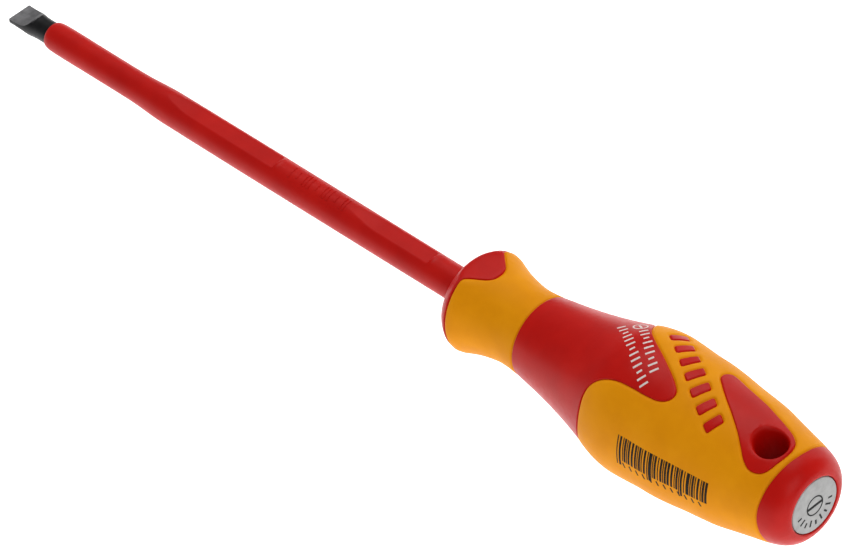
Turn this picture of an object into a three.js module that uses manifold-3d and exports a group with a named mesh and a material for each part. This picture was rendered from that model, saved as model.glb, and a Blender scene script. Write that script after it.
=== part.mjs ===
// An insulated slotted screwdriver: a steel blade in a moulded red sleeve, and a handle moulded in three
// shots round it. Millimetres. +X runs along the tool from the blade's tip to the handle's butt, the blade's
// width lies along Y, and +Z is square to the blade's flat. The origin is the centre of the tip's end face.
import * as THREE from "three";
import { mergeVertices } from "three/addons/utils/BufferGeometryUtils.js";
import Module from "manifold-3d";

const wasm = await Module();
wasm.setup();

// ---- Driving dimensions ----
const BLADE_LENGTH = 175; // tip to the handle's front face
const HANDLE_LENGTH = 120;
const TOTAL_LENGTH = BLADE_LENGTH + HANDLE_LENGTH;
const FIT_GAP = 0.3; // left between pieces that are moulded or pressed together

const TIP_WIDTH = 8.0;
const TIP_THICKNESS = 1.2;
const SHANK_RADIUS = 3.3;
const BARE_LENGTH = 14; // steel left bare at the tip
const PARALLEL_LENGTH = 3.2; // of the tip's two faces
const GRIND_LENGTH = 9.4; // from the tip to where the shank is round again
const BLADE_TAIL = 80; // how far the shank runs into the handle
const WING_SPAN = 10.6; // pressed wings that stop the blade turning in the handle
const WING_THICKNESS = 3;
const WING_LENGTH = 14;
const WING_STARTS = [36, 56]; // from the handle's front face

const SLEEVE_SLIM_RADIUS = 4.15;
const SLEEVE_RADIUS = 4.75;
const SLEEVE_NOSE_RADIUS = 3.65;
const SLEEVE_STEP = [48, 61]; // where the sleeve grows from slim to full
const SLEEVE_TAIL = 26; // how far the sleeve runs into the handle
const SLEEVE_FLATS = [[61, 103], [132, 161]]; // start and end of each pair of flats
const SLEEVE_FLAT_RAMP = 5; // over which a flat starts; it ends in a step
const SLEEVE_FLAT_HEIGHT = 4.15;

const CORE_RADIUS = 8;
const CORE_SPAN = [8, 97]; // from the handle's front face
const GRIP_THICKNESS = 2.2; // the rear grip's soft layer
const FRONT_GRIP_BORE = 9.5; // radius
const FRONT_GRIP_SPAN = [3.6, 25.2];
const REAR_GRIP_SPAN = [52.8, 114.2];
const COLLAR_FLAT_HEIGHT = 12.3; // two flats that stop the tool rolling
const COLLAR_WINDOW_RADIUS = 7.1;
const COLLAR_WINDOW_CENTRE = 3.0; // from the handle's front face
const BADGE_RADIUS = 8;
const BADGE_THICKNESS = 1.2;
const HANG_HOLE_STATION = 107.2;
const HANG_HOLE_LEAN = 5.5; // degrees from +Z towards -Y
const HANG_HOLE_FLARE = [[11.5, 4.2], [13, 4.45], [14.2, 4.95], [15, 5.7]]; // [height, radius] of its eased mouth

// The handle's outline, as [distance from its front face, radius].
const HANDLE_OUTLINE = [
  [0, 11.5], [1.5, 13.1], [3, 14.1], [4.6, 14.25], [7, 13.5], [10, 12.5], [14, 11.6], [18, 11.05],
  [22, 11.15], [28, 12.0], [35, 13.15], [42, 14.6], [48, 16.1], [53, 17.55], [58, 19.05], [62.5, 19.8],
  [68, 19.65], [73, 19.35], [78, 19.25], [83, 18.8], [88, 18.15], [93, 17.65], [98, 17.05], [103, 16.0],
  [108, 14.95], [112, 14.15], [115, 13.5], [117, 12.65], [118.6, 11.3], [119.6, 9.8], [120, 8.9],
];

// Windows in the rear grip, as outlines of [distance from the handle's front face, degrees from +Z towards -Y].
// Each is repeated half a turn round the handle.
const TONGUE_OUTLINE = [
  [49, 112], [54.2, 102], [55.2, 88], [55.5, 70], [55.6, 57], [56.6, 48.5], [58.5, 41.8], [61, 37.3],
  [64, 34.6], [68, 33.4], [73, 32.8], [77, 31], [79.2, 26.5], [79.5, 19], [77.2, 12], [70.4, 0.5],
  [62.8, -11.5], [57.8, -26], [54.6, -42], [49, -52],
];
const HANG_WINDOW_OUTLINE = [
  [83.4, -24], [84.2, -16], [90.6, -1.5], [99.5, 18], [104.8, 35.5], [107.2, 40], [109.8, 38.5],
  [111.5, 31], [112.6, 14], [112.6, -3], [111.2, -13.5], [108.5, -19.5], [104, -23.5], [95, -27.5],
  [87, -31.2], [84.4, -30],
];
const MARK_COUNT = 7; // raised bars seen through the soft layer between the two windows
const MARK_LINE = [[65.3, -31], [92.6, 22.5]]; // middle of the first and last bar
const MARK_WIDTH = 2.7;
const MARK_HEIGHT = 5;

const HANDLE_SEGMENTS = 48;
const SHAFT_SEGMENTS = 32;
const HOLE_SEGMENTS = 24;
const WINDOW_RADII = [8, 12, 14, 16, 18, 20, 60]; // rings of a window's cutter, close together near the surface
const CLEAR = 30; // a distance outside everything
const SLIVER = 0.02; // edges shorter than this are closed up after the booleans

// ---- Solids ----
function toSolid(geometry) {
  const bare = geometry.clone();
  bare.deleteAttribute("normal");
  bare.deleteAttribute("uv");
  const merged = mergeVertices(bare, 1e-4);
  return new wasm.Manifold(new wasm.Mesh({
    numProp: 3,
    vertProperties: new Float32Array(merged.attributes.position.array),
    triVerts: new Uint32Array(merged.index.array),
  }));
}

function toGeometry(solid) {
  const mesh = solid.asOriginal().simplify(SLIVER).getMesh();
  const geometry = new THREE.BufferGeometry();
  geometry.setAttribute("position", new THREE.BufferAttribute(new Float32Array(mesh.vertProperties), 3));
  geometry.setIndex(new THREE.BufferAttribute(new Uint32Array(mesh.triVerts), 1));
  return geometry;
}

// A closed profile of [x, radius] turned about the X axis. It runs forwards along its outer side.
function turned(profile, segments) {
  const points = profile.map(([x, radius]) => new THREE.Vector2(radius, x));
  return toSolid(new THREE.LatheGeometry(points, segments).rotateZ(-Math.PI / 2));
}

function rod(start, end, radius, segments) {
  return turned([[start, 0], [start, radius], [end, radius], [end, 0]], segments);
}

function box(low, high) {
  const size = high.map((value, axis) => value - low[axis]);
  const geometry = new THREE.BoxGeometry(...size);
  return toSolid(geometry.translate(...low.map((value, axis) => value + size[axis] / 2)));
}

// ---- The handle's outline and its layers ----
const stations = HANDLE_OUTLINE.map(([station]) => station);

function outlineRadius(station) {
  const next = Math.max(1, stations.findIndex((value) => value >= station));
  const [[s0, r0], [s1, r1]] = [HANDLE_OUTLINE[next - 1], HANDLE_OUTLINE[next]];
  return r0 + ((r1 - r0) * (station - s0)) / (s1 - s0);
}

// The outline between two stations, moved outwards by grow.
function outlineBetween(start, end, grow) {
  const inside = stations.filter((station) => station > start && station < end);
  return [start, ...inside, end].map((station) => [BLADE_LENGTH + station, outlineRadius(station) + grow]);
}

// The front grip fills the neck out from a straight bore; the rear grip is an even layer.
function frontLayer([start, end], bore, grow) {
  const outer = outlineBetween(start, end, grow);
  return turned([...outer, [outer.at(-1)[0], bore], [outer[0][0], bore], outer[0]], HANDLE_SEGMENTS);
}

function rearLayer([start, end], innerGrow, grow) {
  const outer = outlineBetween(start, end, grow);
  const inner = outlineBetween(start, end, innerGrow).reverse();
  return turned([...outer, ...inner, outer[0]], HANDLE_SEGMENTS);
}

function inset([start, end]) {
  return [start + FIT_GAP, end - FIT_GAP];
}

// ---- Windows: an outline on the handle's surface, cut straight in towards the axis ----
function moveOutwards(outline, distance) {
  const flat = outline.map(([station, degrees]) => (
    new THREE.Vector2(station, THREE.MathUtils.degToRad(degrees) * outlineRadius(station))
  ));
  const clockwise = THREE.ShapeUtils.isClockWise(flat) ? 1 : -1;
  return flat.map((point, i) => {
    const before = flat[(i + flat.length - 1) % flat.length];
    const after = flat[(i + 1) % flat.length];
    const along = after.clone().sub(before).normalize();
    const station = point.x - along.y * distance * clockwise;
    const arc = point.y + along.x * distance * clockwise;
    return [station, THREE.MathUtils.radToDeg(arc / outlineRadius(station))];
  });
}

function smoothLoop(outline, count) {
  const curve = new THREE.CatmullRomCurve3(
    outline.map(([station, degrees]) => new THREE.Vector3(station, degrees, 0)), true, "centripetal");
  return curve.getPoints(count).slice(0, -1).map((point) => [point.x, point.y]);
}

function window3d(outline, halfTurns) {
  const flat = outline.map(([station, degrees]) => new THREE.Vector2(station, degrees));
  if (THREE.ShapeUtils.isClockWise(flat)) flat.reverse();
  const count = flat.length;
  const positions = [];
  for (const radius of WINDOW_RADII) {
    for (const point of flat) {
      const angle = THREE.MathUtils.degToRad(point.y) + Math.PI * halfTurns;
      positions.push(BLADE_LENGTH + point.x, -radius * Math.sin(angle), radius * Math.cos(angle));
    }
  }
  const index = [];
  const outermost = (WINDOW_RADII.length - 1) * count;
  for (const [a, b, c] of THREE.ShapeUtils.triangulateShape(flat, [])) {
    index.push(a, b, c, outermost + a, outermost + c, outermost + b);
  }
  for (let ring = 0; ring < outermost; ring += count) {
    for (let i = 0; i < count; i++) {
      const j = (i + 1) % count;
      index.push(ring + i, ring + count + i, ring + j, ring + j, ring + count + i, ring + count + j);
    }
  }
  const geometry = new THREE.BufferGeometry();
  geometry.setAttribute("position", new THREE.Float32BufferAttribute(positions, 3));
  geometry.setIndex(index);
  return toSolid(geometry);
}

function markOutline(i, grow) {
  const along = i / (MARK_COUNT - 1);
  const [[s0, d0], [s1, d1]] = MARK_LINE;
  const station = s0 + (s1 - s0) * along;
  const perDegree = THREE.MathUtils.degToRad(outlineRadius(station));
  const line = new THREE.Vector2(s1 - s0, (d1 - d0) * perDegree).normalize();
  const corners = [[-1, -1], [1, -1], [1, 1], [-1, 1]];
  return corners.map(([across, up]) => {
    const a = across * (MARK_WIDTH / 2 + grow);
    const u = up * (MARK_HEIGHT / 2 + grow);
    const ds = line.x * a - line.y * u;
    const dArc = line.y * a + line.x * u;
    return [station + ds, d0 + (d1 - d0) * along + dArc / perDegree];
  });
}

// What shows red through the rear grip, each outline moved outwards by grow.
function rearWindows(grow) {
  const outlines = [
    moveOutwards(smoothLoop(TONGUE_OUTLINE, 44), grow),
    moveOutwards(smoothLoop(HANG_WINDOW_OUTLINE, 40), grow),
    ...Array.from({ length: MARK_COUNT }, (_, i) => markOutline(i, grow)),
  ];
  return outlines.flatMap((outline) => [0, 1].map((half) => window3d(outline, half)));
}

// The D-shaped window on each collar flat, open towards the rim.
function frontWindows(grow) {
  const radius = COLLAR_WINDOW_RADIUS + grow;
  const shape = new THREE.Shape();
  shape.moveTo(-1, -radius);
  shape.lineTo(COLLAR_WINDOW_CENTRE, -radius);
  shape.absarc(COLLAR_WINDOW_CENTRE, 0, radius, -Math.PI / 2, Math.PI / 2, false);
  shape.lineTo(-1, radius);
  const upright = new THREE.ExtrudeGeometry(shape, { depth: CLEAR, bevelEnabled: false, curveSegments: 16 });
  upright.translate(BLADE_LENGTH, 0, CORE_RADIUS / 2);
  return [toSolid(upright), toSolid(upright.clone().rotateX(Math.PI))];
}

function without(solid, cutters) {
  return cutters.reduce((left, cutter) => left.subtract(cutter), solid);
}

// A side view in X and Z, cut across the whole width of the upper face and of the lower face.
function acrossBothFaces(side) {
  const cutter = new THREE.ExtrudeGeometry(side, { depth: CLEAR, bevelEnabled: false, curveSegments: 8 });
  cutter.translate(0, 0, -CLEAR / 2).rotateX(Math.PI / 2);
  return [toSolid(cutter), toSolid(cutter.clone().rotateX(Math.PI))];
}

// ---- The pieces ----
// The ground tip: a flared round bar with its top and bottom hollow-ground down to the tip's thickness.
function bladeSolid(grow) {
  const tipRadius = TIP_WIDTH / 2;
  const radius = SHANK_RADIUS + grow;
  const tail = BLADE_LENGTH + BLADE_TAIL + grow;
  const bar = turned([
    [0, 0], [0, tipRadius - 0.15], [0.4, tipRadius], [4, tipRadius], [6.5, tipRadius - 0.3],
    [GRIND_LENGTH, radius], [tail - 1.5, radius], [tail, radius - 1.5], [tail, 0],
  ], SHAFT_SEGMENTS);
  const half = TIP_THICKNESS / 2;
  const grind = new THREE.Shape();
  grind.moveTo(-1, half);
  grind.lineTo(0, half);
  grind.lineTo(PARALLEL_LENGTH, half);
  grind.quadraticCurveTo((PARALLEL_LENGTH + GRIND_LENGTH) / 2, half, GRIND_LENGTH, SHANK_RADIUS + 0.7);
  grind.lineTo(GRIND_LENGTH, CLEAR);
  grind.lineTo(-1, CLEAR);
  const ground = without(bar, acrossBothFaces(grind));
  return WING_STARTS.reduce((left, start) => left.add(box(
    [BLADE_LENGTH + start - grow, -WING_SPAN / 2 - grow, -WING_THICKNESS / 2 - grow],
    [BLADE_LENGTH + start + WING_LENGTH + grow, WING_SPAN / 2 + grow, WING_THICKNESS / 2 + grow],
  )), ground);
}

function bladeInsulation() {
  const tail = BLADE_LENGTH + SLEEVE_TAIL;
  const bore = SHANK_RADIUS + FIT_GAP / 2;
  const sleeve = turned([
    [BARE_LENGTH, bore], [BARE_LENGTH, SLEEVE_NOSE_RADIUS], [BARE_LENGTH + 1.2, SLEEVE_SLIM_RADIUS],
    [SLEEVE_STEP[0], SLEEVE_SLIM_RADIUS], [SLEEVE_STEP[1], SLEEVE_RADIUS], [tail, SLEEVE_RADIUS],
    [tail, bore], [BARE_LENGTH, bore],
  ], SHAFT_SEGMENTS);
  const flats = SLEEVE_FLATS.map(([start, end]) => {
    const side = new THREE.Shape();
    side.moveTo(start, SLEEVE_RADIUS + 0.1);
    side.lineTo(start + SLEEVE_FLAT_RAMP, SLEEVE_FLAT_HEIGHT);
    side.lineTo(end, SLEEVE_FLAT_HEIGHT);
    side.lineTo(end, CLEAR);
    side.lineTo(start, CLEAR);
    return side;
  });
  return without(sleeve, flats.flatMap(acrossBothFaces));
}

function handleCore() {
  const [start, end] = CORE_SPAN.map((station) => BLADE_LENGTH + station);
  const sleeveSeat = rod(start - 1, BLADE_LENGTH + SLEEVE_TAIL + FIT_GAP, SLEEVE_RADIUS + FIT_GAP, SHAFT_SEGMENTS);
  return without(rod(start, end, CORE_RADIUS, SHAFT_SEGMENTS), [bladeSolid(FIT_GAP), sleeveSeat]);
}

function handleShell() {
  const body = turned([
    [BLADE_LENGTH, 0], ...outlineBetween(0, HANDLE_LENGTH, 0), [TOTAL_LENGTH, 0],
  ], HANDLE_SEGMENTS);
  const frontPocket = without(frontLayer(FRONT_GRIP_SPAN, FRONT_GRIP_BORE, 1), frontWindows(0));
  const rearPocket = without(rearLayer(REAR_GRIP_SPAN, -GRIP_THICKNESS, 1), rearWindows(0));
  const [coreStart, coreEnd] = CORE_SPAN.map((station) => BLADE_LENGTH + station);
  return without(body, [
    frontPocket,
    rearPocket,
    ...collarFlats(),
    rod(BLADE_LENGTH - 1, coreStart, SLEEVE_RADIUS + FIT_GAP, SHAFT_SEGMENTS),
    rod(coreStart - FIT_GAP, coreEnd + FIT_GAP, CORE_RADIUS + FIT_GAP, SHAFT_SEGMENTS),
    rod(TOTAL_LENGTH - BADGE_THICKNESS - FIT_GAP, TOTAL_LENGTH + 1, BADGE_RADIUS + FIT_GAP, SHAFT_SEGMENTS),
    hangHole(),
  ]);
}

function collarFlats() {
  const end = BLADE_LENGTH + FRONT_GRIP_SPAN[1];
  return [
    box([0, -CLEAR, COLLAR_FLAT_HEIGHT], [end, CLEAR, CLEAR]),
    box([0, -CLEAR, -CLEAR], [end, CLEAR, -COLLAR_FLAT_HEIGHT]),
  ];
}

// A straight bore, nearly along Z, with an eased mouth at both ends.
function hangHole() {
  const mouth = [...HANG_HOLE_FLARE, [CLEAR, HANG_HOLE_FLARE.at(-1)[1]]];
  const side = [...mouth].reverse().map(([height, radius]) => [-height, radius]);
  const profile = [[-CLEAR, 0], ...side, ...mouth, [CLEAR, 0]];
  const points = profile.map(([height, radius]) => new THREE.Vector2(radius, height));
  const hole = new THREE.LatheGeometry(points, HOLE_SEGMENTS)
    .rotateX(Math.PI / 2 + THREE.MathUtils.degToRad(HANG_HOLE_LEAN));
  return toSolid(hole.translate(BLADE_LENGTH + HANG_HOLE_STATION, 0, 0));
}

function frontGrip() {
  const ring = frontLayer(inset(FRONT_GRIP_SPAN), FRONT_GRIP_BORE + FIT_GAP, 0);
  return without(ring, [...frontWindows(FIT_GAP), ...collarFlats()]);
}

function rearGrip() {
  return without(rearLayer(inset(REAR_GRIP_SPAN), FIT_GAP - GRIP_THICKNESS, 0), rearWindows(FIT_GAP));
}

function endBadge() {
  return rod(TOTAL_LENGTH - BADGE_THICKNESS, TOTAL_LENGTH, BADGE_RADIUS, SHAFT_SEGMENTS);
}

// ---- Materials and assembly ----
const STEEL = { color: 0x2b2b2c, roughness: 0.45, metalness: 0.8 };
const RED = { color: 0xb3141a, roughness: 0.45, metalness: 0 };
const CORE_PLASTIC = { color: 0x8d1216, roughness: 0.6, metalness: 0 };
const SOFT_YELLOW = { color: 0xe0930c, roughness: 0.6, metalness: 0 };
const GREY = { color: 0xb4b7b6, roughness: 0.5, metalness: 0 };

const PIECES = [
  ["blade", bladeSolid(0), STEEL],
  ["blade_insulation", bladeInsulation(), RED],
  ["handle_core", handleCore(), CORE_PLASTIC],
  ["handle_shell", handleShell(), RED],
  ["front_grip", frontGrip(), SOFT_YELLOW],
  ["rear_grip", rearGrip(), SOFT_YELLOW],
  ["end_badge", endBadge(), GREY],
];

const screwdriver = new THREE.Group();
for (const [name, solid, finish] of PIECES) {
  const mesh = new THREE.Mesh(toGeometry(solid), new THREE.MeshStandardMaterial(finish));
  mesh.name = name;
  screwdriver.add(mesh);
}

export default screwdriver;
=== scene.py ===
import math

import bmesh
import bpy
import numpy as np
from mathutils import Matrix, Vector
from mathutils.geometry import delaunay_2d_cdt


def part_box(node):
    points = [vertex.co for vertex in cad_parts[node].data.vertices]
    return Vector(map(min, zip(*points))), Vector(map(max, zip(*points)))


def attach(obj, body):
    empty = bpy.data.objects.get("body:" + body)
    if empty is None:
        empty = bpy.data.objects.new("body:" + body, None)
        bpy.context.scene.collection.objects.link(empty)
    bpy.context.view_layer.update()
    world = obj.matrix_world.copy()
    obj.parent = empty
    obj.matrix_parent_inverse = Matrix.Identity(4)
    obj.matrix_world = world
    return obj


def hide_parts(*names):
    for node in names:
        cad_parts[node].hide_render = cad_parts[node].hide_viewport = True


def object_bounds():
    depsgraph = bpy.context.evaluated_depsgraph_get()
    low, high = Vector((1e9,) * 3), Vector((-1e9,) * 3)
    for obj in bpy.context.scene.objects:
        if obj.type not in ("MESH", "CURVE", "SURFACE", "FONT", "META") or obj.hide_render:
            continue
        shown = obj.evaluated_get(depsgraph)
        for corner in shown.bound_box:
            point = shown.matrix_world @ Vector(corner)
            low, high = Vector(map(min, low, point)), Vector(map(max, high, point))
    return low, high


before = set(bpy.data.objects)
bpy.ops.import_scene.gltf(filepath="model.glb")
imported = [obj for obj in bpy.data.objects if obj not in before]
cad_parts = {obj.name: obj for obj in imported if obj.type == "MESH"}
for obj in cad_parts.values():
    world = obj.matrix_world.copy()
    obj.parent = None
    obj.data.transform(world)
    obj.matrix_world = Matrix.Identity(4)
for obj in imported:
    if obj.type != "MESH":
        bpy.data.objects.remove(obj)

cad_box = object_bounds()

# Lengths below are in millimetres. On the handle a place is (station, angle): the distance from the
# handle's front face, and the degrees from +Z towards -Y. The handle repeats itself after half a turn.
MM = 0.001
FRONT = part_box("handle_shell")[0][0] / MM
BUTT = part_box("handle_shell")[1][0] / MM
HANDLE_LENGTH = 120.0
HALF_TURN = 180.0
SEAM_ANGLE = -70.0  # where the half-turn pattern is cut open to be laid flat
FLAT_RADIUS = 16.5  # turns an angle into a distance on the flat pattern


# ---------------------------------------------------------------- curves
def smooth_table(table):
    """A smooth function through [[x, y], ...]; outside the table it keeps the end values."""
    xs, ys = np.array(table, float).T
    slopes = np.gradient(ys, xs)

    def value(x):
        x = np.clip(x, xs[0], xs[-1])
        i = np.clip(np.searchsorted(xs, x) - 1, 0, len(xs) - 2)
        width = xs[i + 1] - xs[i]
        t = (x - xs[i]) / width
        return (
            (2 * t**3 - 3 * t**2 + 1) * ys[i]
            + (t**3 - 2 * t**2 + t) * width * slopes[i]
            + (3 * t**2 - 2 * t**3) * ys[i + 1]
            + (t**3 - t**2) * width * slopes[i + 1]
        )

    return value


def smooth_through(knots, per_span=24):
    """Points along a centripetal Catmull-Rom curve through all but the first and last knot."""
    knots = np.asarray(knots, float)
    out = []
    for k in range(1, len(knots) - 2):
        p0, p1, p2, p3 = knots[k - 1:k + 3]
        t0 = 0.0
        t1 = t0 + math.sqrt(np.linalg.norm(p1 - p0))
        t2 = t1 + math.sqrt(np.linalg.norm(p2 - p1))
        t3 = t2 + math.sqrt(np.linalg.norm(p3 - p2))
        t = np.linspace(t1, t2, per_span, endpoint=False)[:, None]
        a1 = (t1 - t) / (t1 - t0) * p0 + (t - t0) / (t1 - t0) * p1
        a2 = (t2 - t) / (t2 - t1) * p1 + (t - t1) / (t2 - t1) * p2
        a3 = (t3 - t) / (t3 - t2) * p2 + (t - t2) / (t3 - t2) * p3
        b1 = (t2 - t) / (t2 - t0) * a1 + (t - t0) / (t2 - t0) * a2
        b2 = (t3 - t) / (t3 - t1) * a2 + (t - t1) / (t3 - t1) * a3
        out.append((t2 - t) / (t2 - t1) * b1 + (t - t1) / (t2 - t1) * b2)
    return np.vstack(out)


def evenly(points, spacing):
    """The same open path with its points a nearly equal spacing apart."""
    steps = np.r_[0, np.cumsum(np.linalg.norm(np.diff(points, axis=0), axis=1))]
    count = max(3, int(round(steps[-1] / spacing)))
    at = np.linspace(0, steps[-1], count + 1)
    return np.column_stack([np.interp(at, steps, points[:, i]) for i in range(points.shape[1])])


def sideways(path, closed):
    """The unit direction across a flat path, at each of its points."""
    if closed:
        ahead = np.roll(path, -1, axis=0) - np.roll(path, 1, axis=0)
    else:
        ahead = np.gradient(path, axis=0)
    across = np.column_stack([-ahead[:, 1], ahead[:, 0]])
    return across / np.linalg.norm(across, axis=1)[:, None]


def lay_flat(places):
    """Places (station, angle) as points on the flat pattern, in millimetres."""
    places = np.asarray(places, float)
    return np.column_stack([places[:, 0], np.radians(places[:, 1]) * FLAT_RADIUS])


def unflat(points):
    """Points on the flat pattern as places (station, angle)."""
    return np.column_stack([points[:, 0], np.degrees(points[:, 1] / FLAT_RADIUS)])


# ---------------------------------------------------------------- the handle's surface
HANDLE_OUTLINE = [
    [0, 11.5], [0.6, 12.3], [1.5, 13.1], [3, 14.05], [4.4, 14.3], [7, 13.5], [10, 12.5], [14, 11.6],
    [18, 11.05], [22, 11.15], [28, 12.0], [35, 13.15], [42, 14.6], [48, 16.1], [53, 17.55], [58, 19.05],
    [62.5, 19.75], [68, 19.65], [73, 19.35], [78, 19.25], [83, 18.8], [88, 18.15], [93, 17.65],
    [98, 17.05], [103, 16.0], [108, 14.95], [112, 14.15], [115, 13.45], [117, 12.6], [118.5, 11.5],
    [119.4, 10.35], [119.85, 9.5], [120, 8.8],
]
COLLAR_FLAT = 12.3  # half the distance between the collar's two flats
COLLAR_END = 18.0
COLLAR_REACH = 60.0  # degrees either side of +Z that a flat can take up
COLLAR_SOFTNESS = 0.35  # rounds the flats' edges
handle_radius = smooth_table(HANDLE_OUTLINE)


def surface_radius(station, angle):
    """The handle's radius, with the two flats pressed into its collar."""
    station, angle = np.broadcast_arrays(np.asarray(station, float), np.asarray(angle, float))
    radius = handle_radius(station)
    folded = (angle + 90.0) % HALF_TURN - 90.0
    flat = COLLAR_FLAT / np.cos(np.radians(np.clip(folded, -COLLAR_REACH, COLLAR_REACH)))
    pressed = 0.5 * (radius + flat - np.sqrt((radius - flat) ** 2 + COLLAR_SOFTNESS**2))
    return np.where((station < COLLAR_END) & (np.abs(folded) < COLLAR_REACH), pressed, radius)


def on_handle(station, angle, lift=0.0):
    """Points at places on the handle, lifted off its surface."""
    station, angle = np.broadcast_arrays(np.asarray(station, float), np.asarray(angle, float))
    radius = surface_radius(station, angle) + lift
    turn = np.radians(angle)
    return np.column_stack([FRONT + station, -radius * np.sin(turn), radius * np.cos(turn)])


# ---------------------------------------------------------------- where red meets yellow
RIM_SEAM = [  # front edge of the front grip, with the D-shaped window over each flat
    [3.6, -94], [3.6, -70], [3.6, -50], [3.65, -41], [3.95, -37], [4.7, -34], [5.9, -30], [7.4, -25],
    [9.0, -19], [9.9, -12], [10.2, -3], [9.9, 5], [9.0, 11.5], [7.4, 17], [5.9, 21], [4.7, 24.5],
    [3.95, 27.5], [3.65, 31.5], [3.6, 42], [3.6, 64],
]
NECK_SEAM = 25.2
TONGUE_SEAM = [  # front edge of the rear grip, with the red tongue that runs into it
    [52.8, -53], [54.2, -44], [55.9, -35], [57.6, -26], [59.7, -18], [62.6, -11.5], [66.4, -5.5],
    [70.4, 0.5], [74.4, 7], [77.6, 13], [79.4, 18], [79.7, 22.5], [78.9, 27.5], [76.8, 31.2], [73, 32.8],
    [68, 33.4], [64, 34.6], [61, 37.3], [58.4, 41.8], [56.5, 48.5], [55.6, 57], [55.4, 72],
    [55.1, 87], [54.1, 102], [52.8, 114],
]
BUTT_SEAM = [[114.7, -10], [114.2, 20], [113.3, 55], [112.9, 80], [113.3, 105], [114.2, 140]]
HANG_SEAM = [  # the red window round the hanging hole
    [83.4, -25.5], [83.6, -18], [86.2, -11], [90.6, -1.5], [95, 7.5], [99.5, 18], [102.5, 27.5],
    [104.8, 35.5], [107.2, 40.5], [109.7, 39], [111.3, 33], [112.3, 20], [112.8, 5], [112.4, -5],
    [111.2, -13.5], [108.8, -19.5], [105, -23], [100, -25.5], [95, -27.5], [90, -29.5], [86.8, -31.3],
    [84.4, -30.5],
]
MARK_COUNT = 7
MARK_LINE = ((65.3, -31.0), (92.6, 22.5))  # places of the first and the last mark
MARK_WIDTH = 2.7
MARK_HEIGHT = 5.0
MARK_LEAN = 0.12
MARK_CORNER = 0.5
MARK_SPACING = 0.4
HOLE_STATION = 107.2
HOLE_ANGLE = 5.5  # the hanging hole leans this far from Z
HOLE_RADIUS = 4.2
MOUTH_RADIUS = 5.2  # where the eased edge of the hole meets the skin
MOUTH_DEPTH = 2.4
MOUTH_COUNT = 64
SEAM_SPACING = 0.45

low_edge, high_edge = lay_flat([(0, SEAM_ANGLE), (0, SEAM_ANGLE + HALF_TURN)])[:, 1]
turn_width = math.radians(HALF_TURN) * FLAT_RADIUS


def seam_round(knots):
    """A seam that runs round the handle, over one half turn, as flat points. Both its ends lie at the
    same station, so that the next half turn carries on from it."""
    knots = sorted(knots, key=lambda k: k[1])
    three = [(s, a + shift) for shift in (-HALF_TURN, 0, HALF_TURN) for s, a in knots]
    path = smooth_through(lay_flat(three))
    inside = (path[:, 1] > low_edge) & (path[:, 1] < high_edge)
    k = int(np.argmax(path[:, 1] > low_edge))
    share = (low_edge - path[k - 1, 1]) / (path[k, 1] - path[k - 1, 1])
    station = path[k - 1, 0] + share * (path[k, 0] - path[k - 1, 0])
    return evenly(np.vstack([(station, low_edge), path[inside], (station, high_edge)]), SEAM_SPACING)


def seam_circle(station, count=100):
    """A seam that stays at one station."""
    angles = np.linspace(SEAM_ANGLE, SEAM_ANGLE + HALF_TURN, count + 1)
    return lay_flat([(station, a) for a in angles])


def seam_closed(knots):
    """A seam that closes on itself, as flat points."""
    flat_knots = lay_flat(knots)
    path = smooth_through([flat_knots[-1], *flat_knots, flat_knots[0], flat_knots[1]])
    return evenly(np.vstack([path, path[:1]]), SEAM_SPACING)[:-1]


def mark_outline(i):
    """A bar with rounded corners, square to the row that it stands in but for a slight lean."""
    start, end = lay_flat(MARK_LINE)
    along = (end - start) / np.linalg.norm(end - start)
    across = np.array([-along[1], along[0]])
    centre = start + (end - start) * i / (MARK_COUNT - 1)
    points = []
    for cx, cy, first in ((1, 1, 0), (-1, 1, 90), (-1, -1, 180), (1, -1, 270)):
        for turn in (0, 22.5, 45, 67.5, 90):
            t = math.radians(first + turn)
            x = cx * (MARK_WIDTH / 2 - MARK_CORNER) + MARK_CORNER * math.cos(t)
            y = cy * (MARK_HEIGHT / 2 - MARK_CORNER) + MARK_CORNER * math.sin(t)
            points.append(centre + along * (x + MARK_LEAN * y) + across * y)
    points = np.array(points)
    return evenly(np.vstack([points, points[:1]]), MARK_SPACING)[:-1]


def hole_mouth():
    """Where the eased edge of the hanging hole meets the skin, as flat points."""
    turn = np.linspace(0, 2 * math.pi, MOUTH_COUNT, endpoint=False)
    x = HOLE_STATION + MOUTH_RADIUS * np.cos(turn)
    y = MOUTH_RADIUS * np.sin(turn)
    angle = HOLE_ANGLE - np.degrees(np.arcsin(y / handle_radius(x)))
    return lay_flat(np.column_stack([x, angle]))


def inside_of(points, loop):
    """Which points lie inside a closed loop."""
    inside = np.zeros(len(points), bool)
    x, y = points[:, 0], points[:, 1]
    for (x1, y1), (x2, y2) in zip(loop, np.roll(loop, -1, axis=0)):
        crosses = (y1 > y) != (y2 > y)
        if crosses.any():
            at = x1 + (y - y1) * (x2 - x1) / (y2 - y1)
            inside ^= crosses & (x < at)
    return inside


rounds = [seam_round(RIM_SEAM), seam_circle(NECK_SEAM), seam_round(TONGUE_SEAM), seam_round(BUTT_SEAM)]
loops = [seam_closed(HANG_SEAM)] + [mark_outline(i) for i in range(MARK_COUNT)]
mouth = hole_mouth()
front_band = np.vstack([rounds[0], rounds[1][::-1]])
rear_band = np.vstack([rounds[2], rounds[3][::-1]])
seam_points = np.vstack([
    seam + (0, shift) for seam in rounds + loops for shift in (-turn_width, 0, turn_width)
])


def seam_distance(points, batch=1000):
    """How far each flat point is from the nearest seam."""
    out = np.empty(len(points))
    for k in range(0, len(points), batch):
        gap = points[k:k + batch, None, :] - seam_points[None]
        out[k:k + batch] = np.sqrt((gap**2).sum(axis=2).min(axis=1))
    return out


BODY, FRONT_GRIP, REAR_GRIP, OPEN = range(4)


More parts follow.
